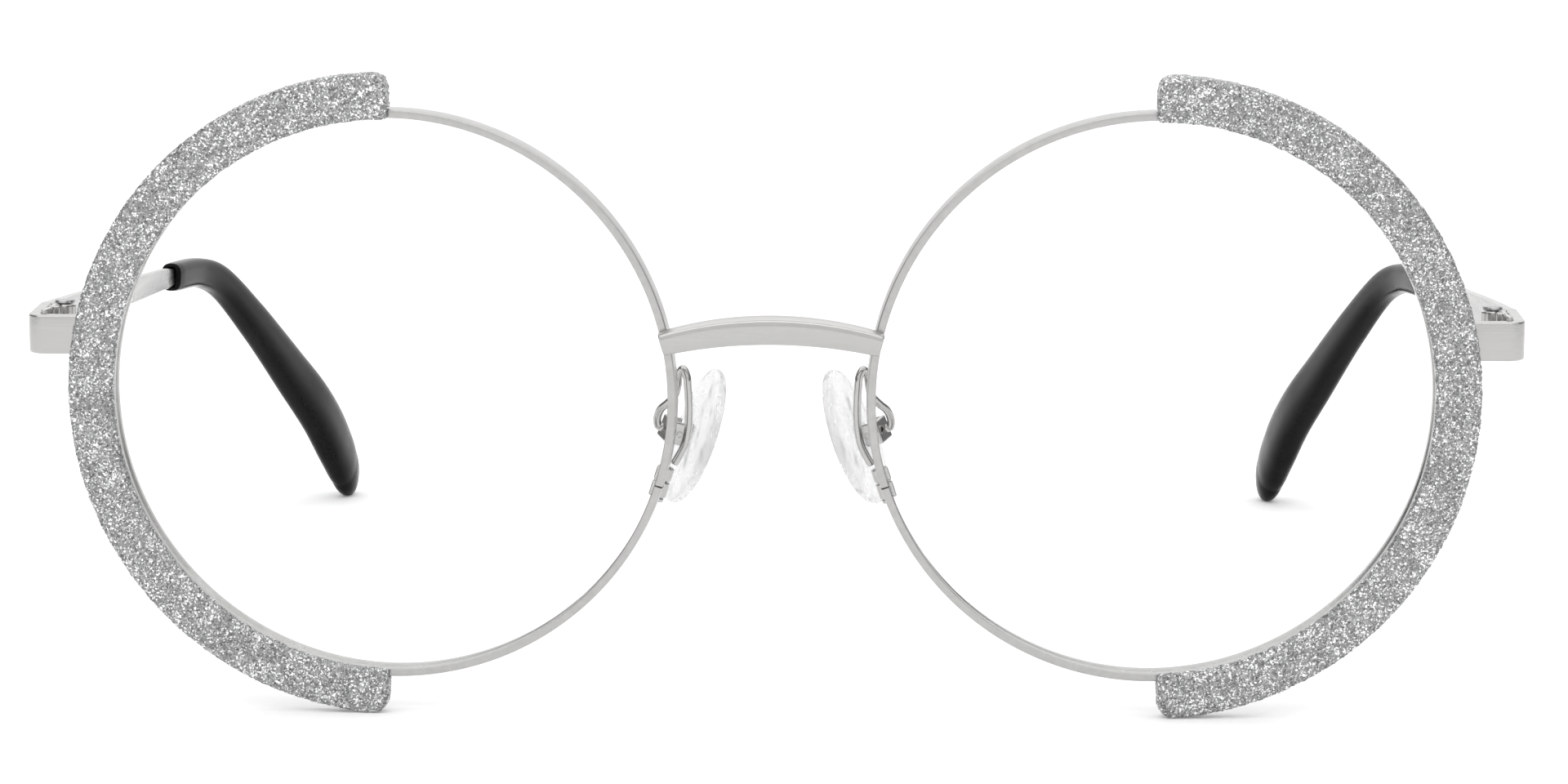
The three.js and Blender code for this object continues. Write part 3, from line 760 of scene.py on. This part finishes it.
def end_piece():
    """The flat strip from behind the crescent, round the corner and back to the hinge."""
    x0, r = 61.9, 1.15
    xm = END_X - END_T / 2
    ym = END_Y + END_T / 2
    end = HINGE_Y - 0.42
    pts = [(x0, ym)] + [(x, ym) for x in np.linspace(x0 + 0.4, xm - r, 12)]
    pts += [(xm - r + r * math.sin(a), ym + r - r * math.cos(a)) for a in np.linspace(0, math.pi / 2, 14)[1:]]
    pts += [(xm, y) for y in np.linspace(ym + r + 0.3, end, 12)]
    P = np.array([(x, y, END_Z) for x, y in pts])
    Tn, U, Wd = frames(P, (0, 0, 1))
    sec = rrect(END_H, END_T, 0.2, 5)
    rings = []
    def ring(i, inset=0.0, push=0.0):
        s = sec * np.array([1 - inset / (END_H / 2), 1 - inset / (END_T / 2)])
        return P[i] + Tn[i] * push + s[:, :1] * U[i] + s[:, 1:] * Wd[i]
    e = 0.1
    for k in range(4):
        a = math.pi / 2 * k / 3
        rings.append(ring(0, e * (1 - math.sin(a)), e * (1 - math.cos(a))))
    rings += [ring(i) for i in range(1, len(P) - 1)]
    for k in range(4):
        a = math.pi / 2 * (3 - k) / 3
        rings.append(ring(len(P) - 1, e * (1 - math.sin(a)), -e * (1 - math.cos(a))))
    V, F = skin(rings)
    # the end leans with the hinge
    t = math.tan(HINGE_LEAN)
    k = np.clip((V[:, 1] - (ym + r)) / (end - ym - r), 0, 1)
    V[:, 1] += k * (V[:, 2] - END_Z) * t
    return to_mesh("end_piece", V, F)


def hinge_front():
    parts = [slab(inner - 0.5, -6.2, -1.6, inner, -1.6, 1.6, 0.15)]
    for a, b in ((0.62, 1.7), (-1.7, -0.62)):
        parts.append(hollow(0.6, BARREL_R, a, b, 0.14))
        parts.append(slab(0.1, -2.3, a, inner, -0.62, b, 0.14))
    return fused("hinge_front", parts, 0.05, 2, 0.4)


def hinge_temple():
    parts = [slab(inner - 0.5, 1.6, -1.4, inner, 7.0, 1.4, 0.15), hollow(0.6, BARREL_R, -0.52, 0.52, 0.12), slab(0.1, 0.62, -0.52, inner, 2.5, 0.52, 0.14)]
    return fused("hinge_temple", parts, 0.05, 2, 0.4)


def temple():
    n = 260
    u = np.linspace(0, 1, n)
    P = temple_path.at(u)
    Tn, U, Wd = frames(P, (1, 0, 0))
    rings = []
    def ring(i, inset=0.0, push=0.0):
        a, b = temple_half(u[i])
        s = rrect(2 * (a - inset), 2 * (b - inset), min(0.24, a * 0.8), 5)
        return P[i] + Tn[i] * push + s[:, :1] * U[i] + s[:, 1:] * Wd[i]
    e = 0.1
    for k in range(4):
        a = math.pi / 2 * k / 3
        rings.append(ring(0, e * (1 - math.sin(a)), e * (1 - math.cos(a))))
    rings += [ring(i) for i in range(1, n)]
    return to_mesh("temple", *skin(rings))


def temple_tip():
    m, n = 72, 240
    u = np.r_[np.linspace(0, 0.02, 8)[:-1], np.linspace(0.02, 0.93, n), 0.93 + 0.07 * np.sin(np.linspace(0, math.pi / 2, 40))[1:]]
    P = tip_path.at(u)
    Tn, U, Wd = frames(P, (1, 0, 0))
    half = smooth_table(TIP_ROWS, 0.012)
    outer = []
    def sect(a, b, p=0.72):
        return superellipse(a, b, p, m)
    L = len(u)
    for i in range(L):
        a, b = half(u[i])
        if u[i] > 0.93:
            w = (u[i] - 0.93) / 0.07
            a0, b0 = half(0.93)
            k = math.sqrt(max(0.0, 1 - w * w))
            a, b = a0 * max(k, 0.02), b0 * max(k, 0.02)
        s = sect(a, b, 0.72 + 0.2 * max(0, (u[i] - 0.8) / 0.2))
        outer.append(P[i] + s[:, :1] * U[i] + s[:, 1:] * Wd[i])
    # front end: a rounded edge, a flat face, and an opening round the strip
    a0, b0 = half(0.0)
    front = []
    e = 0.28
    for k in range(5):
        w = math.pi / 2 * k / 5
        s = sect(a0 - e * (1 - math.cos(w)), b0 - e * (1 - math.cos(w)))
        front.append(P[0] - Tn[0] * e * math.sin(w) + s[:, :1] * U[0] + s[:, 1:] * Wd[0])
    s = sect(0.56, 1.16, 0.4)
    front.append(P[0] - Tn[0] * e + s[:, :1] * U[0] + s[:, 1:] * Wd[0])
    s = sect(0.52, 1.12, 0.4)
    front.append(P[0] - Tn[0] * (e - 0.06) + s[:, :1] * U[0] + s[:, 1:] * Wd[0])
    i2 = int(np.searchsorted(u, 0.05))
    s = sect(0.5, 1.0, 0.4)
    front.append(P[i2] + s[:, :1] * U[i2] + s[:, 1:] * Wd[i2])
    rings = front[::-1] + outer[1:]
    return to_mesh("temple_tip", *skin(rings))


# ------------------------------------------------------------------ assembly
ob = place("bridge_bar", bridge(), FRONT, 1, "front", ["bridge"], brushed_x, 50)

for side, s in ((1, "left"), (-1, "right")):
    arm, pad = s + "_temple_arm", s + "_pad"
    N = lambda n: [s + "_" + n]
    place(s + "_eyewire", rim(), EYE, side, "front", N("rim"), satin, 30)
    place(s + "_lens_glass", lens(), EYE, side, "front", N("lens"), lens_mat, 25)
    c = crescent(s + "_crescent", 11 if side > 0 else 12)
    place(s + "_glitter_crescent", c, np.eye(4), 1, "front", N("crescent"), glitter_mat, 60)
    place(s + "_block_upper", closing_half(-1.35, -0.07), BLOCK, side, "front", N("closing_block_upper"), polished)
    place(s + "_block_lower", closing_half(0.07, 1.6), BLOCK, side, "front", N("closing_block_lower"), polished)
    place(s + "_block_screw", slotted_head(0.6, 2.07, 0.4, 0.18, 0.16, (SCREW_R, -1.15)), BLOCK, side, "front", N("closing_screw"), screw_mat, 30)
    place(s + "_pad_wire", pad_arm(), FRONT, side, "front", N("pad_arm"), polished, 60)
    place(s + "_pad_channel", pad_box(), PAD, side, "front", N("pad_box"), polished)
    place(s + "_silicone_pad", nose_pad(), PAD, side, pad, N("nose_pad"), silicone_mat, 50)
    place(s + "_pad_lug", pad_core(), PAD, side, pad, N("pad_core"), core_mat)
    sc = turned(slotted_head(0.58, 0.18, 0.35, 0.16, 0.14, (0.3, -2.6)), T(-1.36, 2.25, 0) @ R("y", -math.pi / 2))
    place(s + "_pad_pin", sc, PAD, side, "front", N("pad_screw"), screw_mat, 30)
    place(s + "_end_strip", end_piece(), FRONT, side, "front", N("end_piece"), brushed_x, 35)
    place(s + "_hinge_knuckles", hinge_front(), HINGE, side, "front", N("hinge_front"), polished)
    place(s + "_hinge_tongue", hinge_temple(), HINGE, side, arm, N("hinge_temple"), polished)
    place(s + "_hinge_pin", slotted_head(0.95, 2.12, 0.36, 0.26, 0.2, (0.53, -1.95)), HINGE, side, "front", N("hinge_screw"), screw_mat, 30)
    place(s + "_temple_strip", temple(), FRONT, side, arm, N("temple"), brushed, 35)
    place(s + "_ear_tip", temple_tip(), FRONT, side, arm, N("temple_tip"), black_mat, 40)

# ------------------------------------------------------------------ floor, light, camera
me = bpy.data.meshes.new("table")
me.from_pydata([(-4, -4, 0), (4, -4, 0), (4, 6, 0), (-4, 6, 0)], [], [(0, 1, 2, 3)])
floor = bpy.data.objects.new("table", me)
bpy.context.scene.collection.objects.link(floor)
floor.location.z = -0.00002
fm, fnt, fb = material("pale_table")
fb.inputs["Base Color"].default_value = (0.95, 0.95, 0.95, 1)
fb.inputs["Emission Color"].default_value = (1, 1, 1, 1)
fb.inputs["Emission Strength"].default_value = 0.1
fb.inputs["Roughness"].default_value = 0.7
fb.inputs["Specular IOR Level"].default_value = 0.2
me.materials.append(fm)

world = bpy.data.worlds.new("studio")
bpy.context.scene.world = world
world.use_nodes = True
nt = world.node_tree
bg = nt.nodes["Background"]
tc = nt.nodes.new("ShaderNodeTexCoord")
sepw = nt.nodes.new("ShaderNodeSeparateXYZ")
nt.links.new(tc.outputs["Generated"], sepw.inputs["Vector"])


def by_axis(axis, stops):
    mr = nt.nodes.new("ShaderNodeMapRange")
    mr.inputs["From Min"].default_value = -1
    mr.inputs["From Max"].default_value = 1
    nt.links.new(sepw.outputs[axis], mr.inputs["Value"])
    r = ramp(nt, stops)
    nt.links.new(mr.outputs["Result"], r.inputs["Fac"])
    return r.outputs["Color"]


def times(a, b):
    mul = nt.nodes.new("ShaderNodeMix")
    mul.data_type = "RGBA"
    mul.blend_type = "MULTIPLY"
    mul.inputs["Factor"].default_value = 1.0
    nt.links.new(a, mul.inputs[6])
    nt.links.new(b, mul.inputs[7])
    return mul.outputs[2]


# a white tent with a dark flag at either side
up = by_axis("Z", [(0.0, 0.8), (0.5, 0.8), (0.6, 0.86), (0.75, 1.0), (0.9, 0.9), (1.0, 0.8)])
back = by_axis("Y", [(0.0, 0.94), (0.2, 0.97), (0.4, 1.0), (1.0, 1.0)])
sides = by_axis("X", [(0.0, 0.16), (0.1, 0.24), (0.2, 0.96), (0.5, 1.0), (0.8, 0.96), (0.9, 0.24), (1.0, 0.16)])
nt.links.new(times(times(up, back), sides), bg.inputs["Color"])
bg.inputs["Strength"].default_value = 1.36


def area(name, loc, target, size, power, size_y=None):
    l = bpy.data.lights.new(name, "AREA")
    l.energy = power
    l.size = size
    if size_y:
        l.shape = "RECTANGLE"
        l.size_y = size_y
    o = bpy.data.objects.new(name, l)
    bpy.context.scene.collection.objects.link(o)
    o.location = loc
    o.rotation_euler = (Vector(target) - Vector(loc)).to_track_quat("-Z", "Y").to_euler()
    return o


area("top_softbox", (0.0, 0.05, 0.9), (0, 0, 0), 0.9, 1.4)
area("front_strip", (0.0, -0.75, 0.7), (0, -0.06, 0.04), 1.1, 0.9, 0.16)
area("key_strip", (-0.7, -0.5, 0.6), (0, 0, 0.03), 0.25, 0.8, 0.8)
area("rim_strip", (0.75, -0.35, 0.5), (0, 0, 0.03), 0.2, 0.6, 0.8)

cam = bpy.data.cameras.new("camera")
cam.sensor_width = 36.0
cam.lens = 5968.4 * 36.0 / 1920.0
cam.clip_start = 0.01
co = bpy.data.objects.new("camera", cam)
bpy.context.scene.collection.objects.link(co)
yaw, pitch, roll = rad(-1.673), rad(7.937), rad(0.0768)
cy, sy, cp, sp, cr, sr = math.cos(yaw), math.sin(yaw), math.cos(pitch), math.sin(pitch), math.cos(roll), math.sin(roll)
Rz = np.array([[cy, -sy, 0], [sy, cy, 0], [0, 0, 1]])
base = np.array([[1, 0, 0], [0, 0, -1], [0, 1, 0]])
Rx = np.array([[1, 0, 0], [0, cp, -sp], [0, sp, cp]])
Rr = np.array([[cr, -sr, 0], [sr, cr, 0], [0, 0, 1]])
Rc = (Rr @ Rx @ base @ Rz).T @ np.diag([1.0, -1.0, -1.0])
mw = Matrix([[*Rc[0], 0.01426], [*Rc[1], (-450 - Y_MID) / 1000], [*Rc[2], 0.09368], [0, 0, 0, 1]])
co.matrix_world = mw
bpy.context.scene.camera = co
bpy.context.scene.view_settings.view_transform = "Standard"

bpy.context.view_layer.update()
